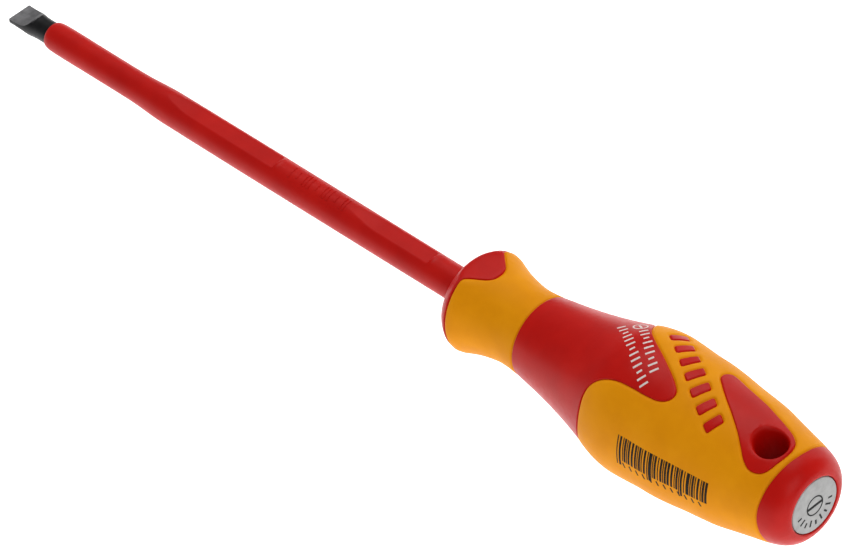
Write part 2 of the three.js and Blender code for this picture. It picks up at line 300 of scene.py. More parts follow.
def kinds_of(points):
    """What each flat point belongs to: the red body, one of the soft grips, or the open hole."""
    kind = np.full(len(points), BODY)
    kind[inside_of(points, front_band)] = FRONT_GRIP
    kind[inside_of(points, rear_band)] = REAR_GRIP
    for loop in loops:
        kind[inside_of(points, loop)] = BODY
    kind[inside_of(points, mouth)] = OPEN
    return kind


# ---------------------------------------------------------------- the flat pattern, cut into triangles
RINGS = (0.07, 0.16, 0.3, 0.5, 0.85)  # lines of points this far from each seam, for its groove
CLEAR_OF_SEAM = 1.05  # how far the plain grid stays from a seam
CLEAR_OF_MOUTH = 0.35
CLEAR_OF_CUT = 0.25  # from the two edges where the pattern is cut open
CLEAR_OF_FRONT = 0.1
CLEAR_OF_BUTT = 0.04
COLUMN_COUNT = 56
END_COUNT = 128
ROWS = [
    0.0, 0.2, 0.5, 0.9, 1.4, 2.0, 2.7, *np.arange(4.6, 114.0, 1.15).round(3),
    115.8, 116.6, 117.3, 117.9, 118.4, 118.8, 119.15, 119.45, 119.65, 119.8, 119.92, HANDLE_LENGTH,
]


def cut_edge_stations():
    """Where points stand along the cut edges: on the rows, and close together at each seam's end."""
    crossings = [seam[0, 0] for seam in rounds]
    stations = {s for s in ROWS if all(abs(s - c) > CLEAR_OF_SEAM for c in crossings)}
    stations.update([0.0, HANDLE_LENGTH])
    for c in crossings:
        stations.update([c, *(c - r for r in RINGS), *(c + r for r in RINGS)])
    return sorted(stations)


def points_beside_seams():
    """Lines of points on both sides of every seam, left out where another seam is nearer."""
    made = []
    for seam, closed in [(s, False) for s in rounds] + [(s, True) for s in loops]:
        across = sideways(seam, closed)
        for ring in RINGS:
            for side in (-1, 1):
                moved = seam + across * ring * side
                made.append(moved[np.abs(seam_distance(moved) - ring) < 0.02 + 0.04 * ring])
    return np.vstack(made)


def grid_points():
    """A plain grid, every second row moved half a step, kept clear of the seams."""
    step = (high_edge - low_edge) / COLUMN_COUNT
    grid = np.array([
        (s, low_edge + step * (k + (0.5 if j % 2 else 0.0)))
        for j, s in enumerate(ROWS) for k in range(COLUMN_COUNT) if 0 < s < HANDLE_LENGTH
    ])
    return grid[seam_distance(grid) > CLEAR_OF_SEAM]


def pattern_mesh():
    """Triangles of half a turn of the handle's skin: flat points, triangles and each triangle's kind."""
    points, edges = [], []

    def add_path(path, closed=False):
        first = len(points)
        points.extend(map(tuple, path))
        count = len(path)
        edges.extend((first + i, first + (i + 1) % count) for i in range(count if closed else count - 1))

    def add_path_between_cuts(path, station):
        """A path from one cut edge to the other, which share their end points with it."""
        first = len(points)
        points.extend(map(tuple, path))
        low = cut.index(station)
        chain = [low, *range(first, first + len(path)), len(cut) + low]
        edges.extend(zip(chain[:-1], chain[1:]))

    cut = cut_edge_stations()
    for y in (low_edge, high_edge):
        add_path([(s, y) for s in cut])
    for seam in rounds:
        add_path_between_cuts(seam[1:-1], seam[0, 0])
    for loop in loops + [mouth]:
        add_path(loop, closed=True)
    ends = np.linspace(low_edge, high_edge, END_COUNT + 1)[1:-1]
    for s in (0.0, HANDLE_LENGTH):
        add_path_between_cuts([(s, y) for y in ends], s)

    extra = np.vstack([points_beside_seams(), grid_points()])
    x, y = extra.T
    off_mouth = np.linalg.norm(extra[:, None] - mouth[None], axis=2).min(axis=1) > CLEAR_OF_MOUTH
    off_cut = (y > low_edge + CLEAR_OF_CUT) & (y < high_edge - CLEAR_OF_CUT)
    off_ends = (x > CLEAR_OF_FRONT) & (x < HANDLE_LENGTH - CLEAR_OF_BUTT)
    points.extend(map(tuple, extra[off_mouth & off_cut & off_ends]))

    made = delaunay_2d_cdt([Vector(p) for p in points], edges, [], 0, 1e-5)
    flat = np.array([tuple(v) for v in made[0]])
    triangles = np.array([f for f in made[2] if len(f) == 3], int)
    a, b, c = (flat[triangles[:, i]] for i in range(3))
    area = np.cross(b - a, c - a)
    triangles[area < 0] = triangles[area < 0][:, ::-1]
    triangles = triangles[np.abs(area) > 1e-7]
    return flat, triangles, kinds_of(flat[triangles].mean(axis=1))


def whole_turn(flat, triangles, kind):
    """Both half turns joined where they meet: places (station, angle), triangles and kinds."""
    both = np.vstack([flat, flat + (0, turn_width)])
    full = 2 * turn_width
    wrapped = both.copy()
    wrapped[:, 1] = (wrapped[:, 1] - low_edge) % full
    wrapped[np.abs(wrapped[:, 1] - full) < 1e-4, 1] = 0
    keys = np.round(wrapped / 2e-4).astype(np.int64)
    _, first, inverse = np.unique(keys, axis=0, return_index=True, return_inverse=True)
    joined = inverse.reshape(-1)[np.vstack([triangles, triangles + len(flat)])]
    return unflat(both[first]), joined, np.r_[kind, kind]


def boundary_of(triangles):
    """Directed edges that no other triangle in the set uses the other way."""
    directed = {}
    for t in triangles:
        for i in range(3):
            directed[(t[i], t[(i + 1) % 3])] = True
    return [e for e in directed if (e[1], e[0]) not in directed]


def closed_rings(follow):
    """The rings in a table that says which point follows which."""
    rings = []
    while follow:
        ring = [next(iter(follow))]
        while follow[ring[-1]] != ring[0]:
            ring.append(follow[ring[-1]])
        for v in ring:
            del follow[v]
        rings.append(ring)
    return rings


def make_mesh(name, vertices, faces, smooth_angle=40.0):
    """An object from millimetre points, with only the points its faces use, and its faces outwards."""
    used = sorted({v for f in faces for v in f})
    renumber = {v: i for i, v in enumerate(used)}
    mesh = bpy.data.meshes.new(name)
    mesh.from_pydata(
        [tuple(vertices[v] * MM) for v in used], [], [[renumber[v] for v in f] for f in faces])
    mesh.validate()
    skin = bmesh.new()
    skin.from_mesh(mesh)
    bmesh.ops.recalc_face_normals(skin, faces=skin.faces)
    skin.to_mesh(mesh)
    skin.free()
    mesh.polygons.foreach_set("use_smooth", [True] * len(mesh.polygons))
    mesh.set_sharp_from_angle(angle=math.radians(smooth_angle))
    mesh.update()
    made = bpy.data.objects.new(name, mesh)
    bpy.context.scene.collection.objects.link(made)
    return made


class Builder:
    """Collects points and faces for one closed piece."""

    def __init__(self):
        self.points = []
        self.faces = []

    def add(self, points):
        """Adds points and gives their numbers."""
        first = sum(len(p) for p in self.points)
        self.points.append(np.asarray(points, float).reshape(-1, 3))
        return np.arange(first, first + len(self.points[-1]))

    def band(self, a, b, closed=True):
        """Quads from ring a to ring b, which hold the same number of points."""
        count = len(a)
        for i in range(count if closed else count - 1):
            j = (i + 1) % count
            self.faces.append([int(a[i]), int(a[j]), int(b[j]), int(b[i])])

    def fan(self, ring, centre):
        """Triangles from a ring to one point."""
        for i in range(len(ring)):
            self.faces.append([int(ring[i]), int(ring[(i + 1) % len(ring)]), int(centre)])

    def wall(self, edges, offset):
        """Quads from edges to the same edges among the points that were added offset later."""
        for i, j in edges:
            self.faces.append([int(j), int(i), int(i + offset), int(j + offset)])

    def made(self, name, smooth_angle=40.0):
        return make_mesh(name, np.vstack(self.points), self.faces, smooth_angle)


# ---------------------------------------------------------------- the handle's three pieces
SEAM_DEPTH = 0.42
SOFT_GROOVE = 0.30  # width of a seam's groove on the soft side, and on the red side
RED_GROOVE = 0.15
SKIN = 1.3  # thickness of the soft layers' visible shell
SKIN_GAP = 0.04  # between a soft layer and its pocket's floor
PROUD = 0.1  # how far the soft layers stand out
PROUD_RISE = 0.9
FRONT_PROFILE = [  # [x from the front face, radius], inwards: the face, the shank's socket and the hollow
    [0, 11.0], [-0.05, 10.5], [-0.05, 5.6], [0.15, 5.15], [0.6, 5.02], [7.7, 5.02], [7.7, 8.3],
    [97.3, 8.3],
]
BUTT_PROFILE = [[0, 8.6], [-0.03, 8.42], [-0.12, 8.3], [-0.3, 8.25], [-1.5, 8.25]]  # the disc's pocket
MOUTH_STEPS = 8


def skin_points(places, triangles, kind):
    """The outer skin: the soft layers stand proud, and every seam is a rounded groove."""
    flat = lay_flat(places)
    flat[:, 1] = (flat[:, 1] - low_edge) % turn_width + low_edge
    near = seam_distance(flat)
    on_soft = np.zeros(len(places), bool)
    on_soft[triangles[(kind == FRONT_GRIP) | (kind == REAR_GRIP)].ravel()] = True
    on_red = np.zeros(len(places), bool)
    on_red[triangles[kind == BODY].ravel()] = True
    rise = PROUD * (1 - np.exp(-(near / PROUD_RISE) ** 2))
    lift = np.where(
        on_soft & ~on_red,
        rise - SEAM_DEPTH * np.exp(-(near / SOFT_GROOVE) ** 2),
        -SEAM_DEPTH * np.exp(-(near / RED_GROOVE) ** 2),
    )
    lift[on_soft & on_red] = -SEAM_DEPTH
    return on_handle(places[:, 0], places[:, 1], lift)


def lathe_inwards(body, ring, turn, profile, flip):
    """Carries on from a ring along a turned profile, and closes it on the axis. The profile leads to
    +X where flip is set, and to -X otherwise."""
    last = np.array(ring)
    for x, radius in profile:
        fresh = body.add(np.column_stack([
            np.full(len(ring), x), -radius * np.sin(turn), radius * np.cos(turn)]))
        body.band(*((last, fresh) if flip else (fresh, last)))
        last = fresh
    centre = body.add([[profile[-1][0], 0, 0]])[0]
    body.fan(last if flip else last[::-1], centre)


def bore_through(body, skin, rings):
    """The hanging hole: down an eased edge from each of its two mouths, then straight through."""
    lean = math.radians(HOLE_ANGLE)
    axis = np.array([0.0, -math.sin(lean), math.cos(lean)])
    side = np.array([0.0, math.cos(lean), math.sin(lean)])
    inner = []
    for ring in rings:
        edge = skin[ring]
        up = 1.0 if edge[0, 2] > 0 else -1.0
        turn = np.arctan2(edge @ side, edge[:, 0] - FRONT - HOLE_STATION)
        reach = np.abs(edge @ axis)
        last = np.array(ring)
        for step in range(1, MOUTH_STEPS + 1):
            share = step / MOUTH_STEPS
            t = math.radians(90 * share)
            radius = HOLE_RADIUS + (MOUTH_RADIUS - HOLE_RADIUS) * (1 - math.sin(t))
            height = reach * (1 - share) + reach.mean() * share - MOUTH_DEPTH * (1 - math.cos(t))
            centre = np.outer(FRONT + HOLE_STATION + radius * np.cos(turn), (1, 0, 0))
            across = np.outer(radius * np.sin(turn), side)
            fresh = body.add(centre + across + np.outer(up * height, axis))
            body.band(fresh, last)
            last = fresh
        inner.append((last, turn))
    (top_ring, top_turn), (low_ring, low_turn) = inner
    apart = np.abs(np.angle(np.exp(1j * (low_turn[None] - top_turn[:, None]))))
    body.band(low_ring[apart.argmin(axis=1)], top_ring)


def build_red_body(places, triangles, kind, skin):
    """The hard handle: its own skin, the floors of the soft layers' pockets, the inside and the hole."""
    body = Builder()
    body.add(skin)
    body.add(on_handle(places[:, 0], places[:, 1], -SKIN))
    count = len(places)
    own = triangles[kind == BODY]
    pocket = triangles[(kind == FRONT_GRIP) | (kind == REAR_GRIP)]
    body.faces += own.tolist() + (pocket + count).tolist()
    pocket_edges = set(boundary_of(pocket))
    front_ring, butt_ring, mouth_edges = set(), set(), {}
    for i, j in boundary_of(own):
        if (j, i) in pocket_edges:
            body.wall([(i, j)], count)
        elif max(places[i, 0], places[j, 0]) < 1e-3:
            front_ring.update((i, j))
        elif min(places[i, 0], places[j, 0]) > HANDLE_LENGTH - 0.01:
            butt_ring.update((i, j))
        else:
            mouth_edges[i] = j
    for ring, face, profile, flip in (
        (front_ring, FRONT, FRONT_PROFILE, True), (butt_ring, BUTT, BUTT_PROFILE, False),
    ):
        ring = sorted(ring, key=lambda v: places[v, 1] % 360)
        turn = np.radians(places[ring, 1])
        lathe_inwards(body, ring, turn, [(face + x, radius) for x, radius in profile], flip)
    bore_through(body, skin, closed_rings(mouth_edges))
    return body.made("red_body", 38.0)


def build_soft_grip(name, number, places, triangles, kind, skin):
    """One soft layer: a closed shell that fills its pocket to just above the pocket's floor."""
    grip = Builder()
    grip.add(skin)
    grip.add(on_handle(places[:, 0], places[:, 1], SKIN_GAP - SKIN))
    count = len(places)
    mine = triangles[kind == number]
    grip.faces += mine.tolist() + (mine[:, ::-1] + count).tolist()
    grip.wall(boundary_of(mine), count)
    return grip.made(name, 55.0)


def build_handle():
    places, triangles, kind = whole_turn(*pattern_mesh())
    parts = places, triangles, kind, skin_points(places, triangles, kind)
    return (
        build_red_body(*parts),
        build_soft_grip("front_soft_grip", FRONT_GRIP, *parts),
        build_soft_grip("rear_soft_grip", REAR_GRIP, *parts),
    )


# ---------------------------------------------------------------- blade and sleeve
def slabbed_ring(radius, height, per_flat=24, per_arc=20):
    """A circle cut flat at +height and -height, with its points kept on the flats' edges. The top and
    bottom stretches take up at least 24 degrees each way, so uncut circles keep their points spread."""
    edge = max(math.acos(min(height / radius, 1.0)), math.radians(24))
    across = np.linspace(-1, 1, per_flat, endpoint=False) * radius * math.sin(edge)
    top = np.column_stack([across, np.minimum(height, np.sqrt(np.maximum(radius**2 - across**2, 0)))])
    arc = np.linspace(edge, math.pi - edge, per_arc, endpoint=False)
    side = np.column_stack([radius * np.sin(arc), radius * np.cos(arc)])
    half = np.vstack([top, side])
    return np.vstack([half, -half])


def lofted(name, stations, ring_at, smooth_angle):
    """A closed piece through a ring at each station along the tool's axis."""
    built = Builder()
    rings = []
    for x in stations:
        ring = ring_at(x)
        rings.append(built.add(np.column_stack([np.full(len(ring), x), ring])))
    for a, b in zip(rings[:-1], rings[1:]):
        built.band(a, b)
    first = built.add([[stations[0], 0, 0]])[0]
    last = built.add([[stations[-1], 0, 0]])[0]
    built.fan(rings[0][::-1], first)
    built.fan(rings[-1], last)
    return built.made(name, smooth_angle)


BLADE_STATIONS = [0, 0.02, 0.05, 0.09, 0.15, *np.arange(0.4, 14.5, 0.2), 16, 20, 30, 34]
BLADE_EDGE = 0.15  # the tip's edges are rounded this far
blade_radius = smooth_table([
    [0, 3.72], [0.12, 3.76], [1.5, 3.8], [4, 3.8], [5.5, 3.72], [7.5, 3.48], [9.3, 3.3], [14, 3.28],
    [40, 3.28]])
blade_height = smooth_table([
    [0, 0.6], [3.2, 0.61], [4.4, 0.72], [5.4, 0.95], [6.2, 1.3], [7.0, 1.85], [7.8, 2.55], [8.6, 3.25],
    [9.4, 4.0], [10.2, 4.2], [40, 4.2]])


def blade_ring(x):
    back = max(0.0, 1 - x / BLADE_EDGE)
    rounding = BLADE_EDGE * (1 - math.sqrt(max(0.0, 1 - back**2)))
    return slabbed_ring(float(blade_radius(x)) - rounding, float(blade_height(x)) - rounding * 0.6)


def build_blade():
    return lofted("steel_blade", BLADE_STATIONS, blade_ring, 32.0)


SLEEVE_FLATS = ((58.0, 103.0), (129.0, 161.0))
SLEEVE_FLAT_HEIGHT = 4.15
SLEEVE_FLAT_START = 13.0  # length over which a flat deepens, and over which it ends
SLEEVE_FLAT_END = 0.5
SLEEVE_RADIUS = 4.75
LIP_HEIGHT = 0.2  # a low lip stands where each flat ends
LIP_LENGTH = 0.5
LIP_HALF_WIDTH = 2.9
sleeve_radius = smooth_table([
    [14, 3.45], [14.12, 3.68], [14.5, 3.86], [15.2, 4.02], [16.2, 4.12], [17.5, 4.15], [30, 4.15],
    [44, 4.15], [48, 4.18], [52, 4.32], [56, 4.55], [59, 4.69], [61.5, 4.74], [64, 4.75], [190, 4.75]])


def sleeve_height(x):
    """Half the sleeve's thickness along Z."""
    full = SLEEVE_RADIUS + 0.01
    drop = 0.0
    for start, end in SLEEVE_FLATS:
        into = np.clip((x - start) / SLEEVE_FLAT_START, 0, 1)
        out = np.clip((end - x) / SLEEVE_FLAT_END, 0, 1)
        drop = max(drop, float(min(into, out)))
    drop = drop * drop * (3 - 2 * drop)
    return full - (full - SLEEVE_FLAT_HEIGHT) * drop


def sleeve_ring(x):
    radius = float(sleeve_radius(x))
    ring = slabbed_ring(radius, min(sleeve_height(x), radius + 0.01))
    lip = sum(math.exp(-(((x - end) / LIP_LENGTH - 0.9) ** 2)) for _, end in SLEEVE_FLATS)
    ring[:, 1] *= 1 + LIP_HEIGHT / radius * lip * np.clip(1 - (ring[:, 0] / LIP_HALF_WIDTH) ** 2, 0, 1)
    return ring


def build_sleeve():
    stations = [14, 14.05, 14.12, 14.25, 14.5, 14.8, 15.2, 15.7, 16.2, 17, 18, *np.arange(20, 44, 2.0),
                *np.arange(44, 60, 0.5)]
    for start, end in SLEEVE_FLATS:
        stations += [*np.arange(start, start + 14, 0.5), *np.arange(end - 1.4, end + 2.2, 0.1)]
        stations += list(np.arange(start + 14, end - 1.5, 1.5))
    stations += [*np.arange(105.5, 128.5, 1.5), *np.arange(164, 175, 1.0), 175.5, 178, 181]
    stations = sorted({round(float(s), 3) for s in stations})
    return lofted("insulating_sleeve", stations, sleeve_ring, 38.0)


# ---------------------------------------------------------------- printing and small raised marks
def ribbon(built, path, width, place, heights, closed=False):
    """A thin strip along a flat path, laid on a surface by place(points, lift)."""
    low, high = heights
    path = np.asarray(path, float)
    across = sideways(path, closed)
    left = path + across * width / 2
    right = path - across * width / 2
    a, b = built.add(place(left, low)), built.add(place(right, low))
    c, d = built.add(place(right, high)), built.add(place(left, high))
    for p, q in ((a, b), (b, c), (c, d), (d, a)):
        built.band(p, q, closed)
    if not closed:
        built.faces.append([int(a[0]), int(d[0]), int(c[0]), int(b[0])])
        built.faces.append([int(a[-1]), int(b[-1]), int(c[-1]), int(d[-1])])


def straight(start, end, step=0.4):
    """Points from start to end, no more than a step apart."""
    start, end = np.asarray(start, float), np.asarray(end, float)
    count = max(1, int(math.ceil(np.linalg.norm(end - start) / step)))
    return start + (end - start) * np.linspace(0, 1, count + 1)[:, None]


def circle(centre, radius, count=40):
    turn = np.linspace(0, 2 * math.pi, count, endpoint=False)
    return np.asarray(centre) + radius * np.column_stack([np.cos(turn), np.sin(turn)])


def frame_at(origin, towards, radius):
    """A place() for ribbons on the handle: from the place origin it turns (along, across) millimetres
    into points, where along leads to the place towards and the handle has about the given radius."""
    origin, towards = np.asarray(origin, float), np.asarray(towards, float)
    way = np.array([towards[0] - origin[0], math.radians(towards[1] - origin[1]) * radius])
    way /= np.linalg.norm(way)

    def place(points, lift):
        points = np.asarray(points, float)
        station = origin[0] + points[:, 0] * way[0] - points[:, 1] * way[1]
        angle = origin[1] + np.degrees((points[:, 0] * way[1] + points[:, 1] * way[0]) / radius)
        return on_handle(station, angle, lift)

    return place


ON_RED = (-0.05, 0.03)  # a print's bottom and top, from the surface under it
ON_YELLOW = (-0.05 + PROUD, 0.03 + PROUD)
WHITE_ROWS = (  # place of the start, place that the row leads to, ticks, whether it starts with a symbol
    ((53.6, -24.0), (71.2, 15.0), 9, True),
    ((50.8, -12.5), (72.0, 29.0), 13, False),
)
WHITE_RADIUS = 17.5
TICK_STEP = 1.9
TICK_WIDTH = 0.55
SYMBOL_RADIUS = 1.75
SYMBOL_ROOM = 5.0
BARS_START = (70.4, 69.0)
BARS_TOWARDS = (100.4, 69.0)
BARS_RADIUS = 18.7
BARS_LENGTH = 28.6
SMALL_MARKS = 12


def build_white_print():
    """Two rows of ticks, the first one after a slotted circle, on both sides of the handle."""
    white = Builder()
    for half in (0, 180):
        for start, towards, ticks, symbol in WHITE_ROWS:
            place = frame_at((start[0], start[1] + half), (towards[0], towards[1] + half), WHITE_RADIUS)
            if symbol:
                ribbon(white, circle((1.6, 0), SYMBOL_RADIUS), 0.36, place, ON_RED, closed=True)
                ribbon(white, straight((0.4, 0), (2.8, 0)), TICK_WIDTH, place, ON_RED)
            for k in range(ticks):
                tall = 0.7 if k % 4 == 2 else 1.15
                at = (SYMBOL_ROOM if symbol else 0.4) + TICK_STEP * k
                ribbon(white, straight((at - 0.12, -tall), (at + 0.12, tall)), TICK_WIDTH, place, ON_RED)
    return white.made("white_print")


def build_black_print():
    """A row of bars of uneven widths, which encode nothing, and small marks below it."""
    black = Builder()
    place = frame_at(BARS_START, BARS_TOWARDS, BARS_RADIUS)
    at = 0.0
    k = 0
    while at < BARS_LENGTH:
        width = 0.3 + 0.3 * ((k * 7) % 4 in (1, 3)) + 0.35 * ((k * 5) % 7 == 2)
        gap = 0.24 + 0.22 * ((k * 3) % 5 in (0, 3))
        tall = 8.6 if k % 12 in (0, 1) else 7.0
        middle = at + width / 2
        ribbon(black, straight((middle, 0.0), (middle, tall), 0.6), width, place, ON_YELLOW)
        at += width + gap
        k += 1
    for k in range(SMALL_MARKS):
        x = 1.9 + 2.2 * k
        ribbon(black, straight((x, 7.6), (x + 0.6, 9.0), 0.6), 0.45, place, ON_YELLOW)
    return black.made("black_print")


SLEEVE_MARK_START = 108.2
SLEEVE_MARK_STEP = 2.4
SLEEVE_MARK_HEIGHTS = (-0.2, 0.2)


def build_sleeve_marks():
    """Short raised strokes where a sleeve carries its moulded rating, on both sides of it."""
    built = Builder()

    def place_at(turned):
        def place(points, lift):
            angle = np.radians(turned) + points[:, 1] / SLEEVE_RADIUS
            radius = SLEEVE_RADIUS + lift
            return np.column_stack([points[:, 0], -radius * np.sin(angle), radius * np.cos(angle)])
        return place

    for turned in (4, 184):
        place = place_at(turned)
        for k in range(9):
            x = SLEEVE_MARK_START + SLEEVE_MARK_STEP * k
            reach = 1.2 if k % 3 == 1 else 2.0
            ribbon(built, straight((x, -reach), (x + 0.5, reach)), 0.55, place, SLEEVE_MARK_HEIGHTS)
            if k % 3 == 2:
                second = straight((x + 1.1, -reach), (x + 1.6, reach))
                ribbon(built, second, 0.5, place, SLEEVE_MARK_HEIGHTS)
    return built.made("sleeve_marks", 30.0)


DISC_RADIUS = 8.0
DISC_FACE = BUTT - 0.1
DISC_POINTS = 96
DISC_PROFILE = [  # [x, radius] from the back of the disc to the edge of its face
    (BUTT - 1.2, DISC_RADIUS - 0.05), (BUTT - 0.35, DISC_RADIUS), (BUTT - 0.2, DISC_RADIUS - 0.06),
    (BUTT - 0.13, DISC_RADIUS - 0.2), (DISC_FACE, DISC_RADIUS - 0.5),
]
DISC_MARK_HEIGHTS = (-0.1, 0.03)


def build_disc():
    """The grey disc in the butt."""
    disc = Builder()
    turn = np.linspace(0, 2 * math.pi, DISC_POINTS, endpoint=False)
    rings = [
        disc.add(np.column_stack([np.full(DISC_POINTS, x), -radius * np.sin(turn), radius * np.cos(turn)]))
        for x, radius in DISC_PROFILE
    ]
    back = disc.add([[DISC_PROFILE[0][0], 0, 0]])[0]
    face = disc.add([[DISC_FACE, 0, 0]])[0]
    disc.fan(rings[0], back)
    for before, after in zip(rings[:-1], rings[1:]):
        disc.band(after, before)
    disc.fan(rings[-1][::-1], face)
    return disc.made("end_disc", 50.0)


def build_disc_marks():
    """A slotted circle and an arc of ticks on the disc."""
    marks = Builder()

    def place(points, lift):
        return np.column_stack([np.full(len(points), DISC_FACE + lift), points[:, 0], points[:, 1]])

    ribbon(marks, circle((0, 0), 2.75, 48), 0.42, place, DISC_MARK_HEIGHTS, closed=True)
    ribbon(marks, straight((-2.6, 0), (2.6, 0)), 0.85, place, DISC_MARK_HEIGHTS)
    for k in range(9):
        t = math.radians(100 + 20 * k)
        way = np.array([-math.sin(t), math.cos(t)])
        inner = 4.3 if k % 2 else 4.9
        ribbon(marks, straight(way * inner, way * 6.3), 0.55, place, DISC_MARK_HEIGHTS)
    return marks.made("disc_marks", 30.0)


# ---------------------------------------------------------------- materials
def srgb(r, g, b):
    """A colour given from 0 to 255, as Blender's linear values."""
    def linear(v):
        v /= 255
        return v / 12.92 if v <= 0.04045 else ((v + 0.055) / 1.055) ** 2.4
    return (linear(r), linear(g), linear(b), 1.0)


class Finish:
    """A Principled material with helpers for its procedural parts."""

    def __init__(self, name, **values):
        self.material = bpy.data.materials.new(name)
        self.material.use_nodes = True
        self.tree = self.material.node_tree
        self.shader = self.tree.nodes["Principled BSDF"]
        for socket, value in values.items():
            self.shader.inputs[socket.replace("_", " ")].default_value = value
        coordinates = self.node("ShaderNodeTexCoord")
        self.place = coordinates.outputs["Object"]
        self.facing = coordinates.outputs["Normal"]

    def node(self, kind, **settings):
        """A new node, with its settings or its inputs' values."""
        node = self.tree.nodes.new(kind)
        for key, value in settings.items():
            if hasattr(node, key):
                setattr(node, key, value)
            else:
                node.inputs[key.replace("_", " ")].default_value = value
        return node

    def link(self, a, b):
        self.tree.links.new(a, b)

    def noise(self, size_mm, detail=3.0, roughness=0.55, stretch=None):
        source = self.place
        if stretch:
            mapping = self.node("ShaderNodeMapping")
            mapping.inputs["Scale"].default_value = stretch
            self.link(self.place, mapping.inputs["Vector"])
            source = mapping.outputs["Vector"]
        scale = 1 / (size_mm * MM)
        noise = self.node("ShaderNodeTexNoise", Scale=scale, Detail=detail, Roughness=roughness)
        self.link(source, noise.inputs["Vector"])
        return noise.outputs["Fac"]

    def ramp(self, factor, stops):
        ramp = self.node("ShaderNodeValToRGB")
        points = ramp.color_ramp.elements
        while len(points) < len(stops):
            points.new(0.5)
        for point, (at, colour) in zip(points, stops):
            point.position = at
            point.color = colour if len(colour) == 4 else (*colour, 1)
        self.link(factor, ramp.inputs["Fac"])
        return ramp.outputs["Color"]

    def spread(self, factor, low, high, low_at=0.3, high_at=0.7):
        """A factor turned into low at low_at, high at high_at and even between."""
        spread = self.node("ShaderNodeMapRange")
        spread.inputs["From Min"].default_value = low_at
        spread.inputs["From Max"].default_value = high_at
        spread.inputs["To Min"].default_value = low
        spread.inputs["To Max"].default_value = high
        self.link(factor, spread.inputs["Value"])
        return spread.outputs["Result"]

    def split(self, vector, axis):
        apart = self.node("ShaderNodeSeparateXYZ")
        self.link(vector, apart.inputs["Vector"])
        return apart.outputs[axis]

    def colour(self, output):
        self.link(output, self.shader.inputs["Base Color"])

    def rough(self, output):
        self.link(output, self.shader.inputs["Roughness"])

    def bump(self, heights):
        """heights: [(output, millimetres), ...], added one after another."""
        before = None
        for output, height in heights:
            bump = self.node("ShaderNodeBump", Strength=1.0, Distance=height * MM)
            self.link(output, bump.inputs["Height"])
            if before:
                self.link(before, bump.inputs["Normal"])
            before = bump.outputs["Normal"]
        self.link(before, self.shader.inputs["Normal"])


def moulded_red(name, base, deep, light, roughness):
    finish = Finish(name, IOR=1.5, Specular_IOR_Level=0.17)
    broad = finish.noise(9.0, 4.0)
    fine = finish.noise(0.22, 2.0)
    finish.colour(finish.ramp(broad, [(0.3, deep), (0.5, base), (0.7, light)]))
    finish.rough(finish.spread(finish.noise(1.4, 5.0), roughness - 0.05, roughness + 0.06))
    finish.bump([(finish.noise(3.2, 3.0), 0.012), (finish.noise(0.8, 2.0), 0.012), (fine, 0.006)])
    return finish.material


def soft_yellow():
    finish = Finish("soft_yellow", IOR=1.48, Specular_IOR_Level=0.08)
    broad = finish.noise(8.0, 5.0)
    finish.colour(finish.ramp(broad, [
        (0.3, srgb(232, 146, 4)), (0.5, srgb(237, 151, 5)), (0.72, srgb(242, 157, 8))]))
    finish.rough(finish.spread(finish.noise(0.9, 4.0), 0.46, 0.58))
    fine = finish.noise(0.18, 2.0)
    finish.bump([(finish.noise(2.6, 3.0), 0.014), (finish.noise(0.8, 2.0), 0.010), (fine, 0.009)])
    return finish.material


def black_steel():
    """Black oxide all over, but ground bare on the two faces of the tip."""
    finish = Finish("black_steel", Metallic=0.8, IOR=2.0)
    lines = finish.noise(0.5, 4.0, stretch=(1.0, 0.06, 1.0))
    broad = finish.noise(2.0, 4.0)
    ground = finish.ramp(broad, [
        (0.3, srgb(108, 107, 109)), (0.5, srgb(126, 125, 127)), (0.7, srgb(143, 142, 144))])
    oxide = finish.ramp(broad, [(0.3, srgb(15, 15, 17)), (0.5, srgb(21, 21, 23)), (0.7, srgb(29, 29, 31))])
    upright = finish.node("ShaderNodeMath", operation="ABSOLUTE")
    finish.link(finish.split(finish.facing, "Z"), upright.inputs[0])
    both = finish.node("ShaderNodeMath", operation="MULTIPLY")
    finish.link(finish.spread(upright.outputs[0], 0.0, 1.0, 0.72, 0.9), both.inputs[0])
    along = finish.split(finish.place, "X")
    finish.link(finish.spread(along, 0.0, 1.0, 8.8 * MM, 7.2 * MM), both.inputs[1])
    mix = finish.node("ShaderNodeMix", data_type="RGBA")
    factor, first, second, mixed = mix.inputs[0], mix.inputs[6], mix.inputs[7], mix.outputs[2]
    finish.link(both.outputs[0], factor)
    finish.link(oxide, first)
    finish.link(ground, second)
    finish.colour(mixed)
    finish.rough(finish.spread(lines, 0.32, 0.5))
    finish.bump([(lines, 0.006), (finish.noise(0.12, 2.0), 0.002)])
    return finish.material


def grey_disc():
    finish = Finish("grey_disc", IOR=1.5)
    finish.colour(finish.ramp(finish.noise(1.6, 5.0), [
        (0.3, srgb(158, 158, 157)), (0.5, srgb(167, 167, 166)), (0.7, srgb(176, 176, 175))]))
    finish.rough(finish.spread(finish.noise(0.7, 3.0), 0.42, 0.55))
    finish.bump([(finish.noise(0.16, 2.0), 0.006)])
    return finish.material


def ink(name, colour, other):
    finish = Finish(name, IOR=1.45, Specular_IOR_Level=0.15)
    finish.colour(finish.ramp(finish.noise(0.5, 4.0), [(0.35, colour), (0.65, other)]))
    finish.rough(finish.spread(finish.noise(0.6, 3.0), 0.5, 0.68))
    finish.bump([(finish.noise(0.1, 2.0), 0.003)])
    return finish.material


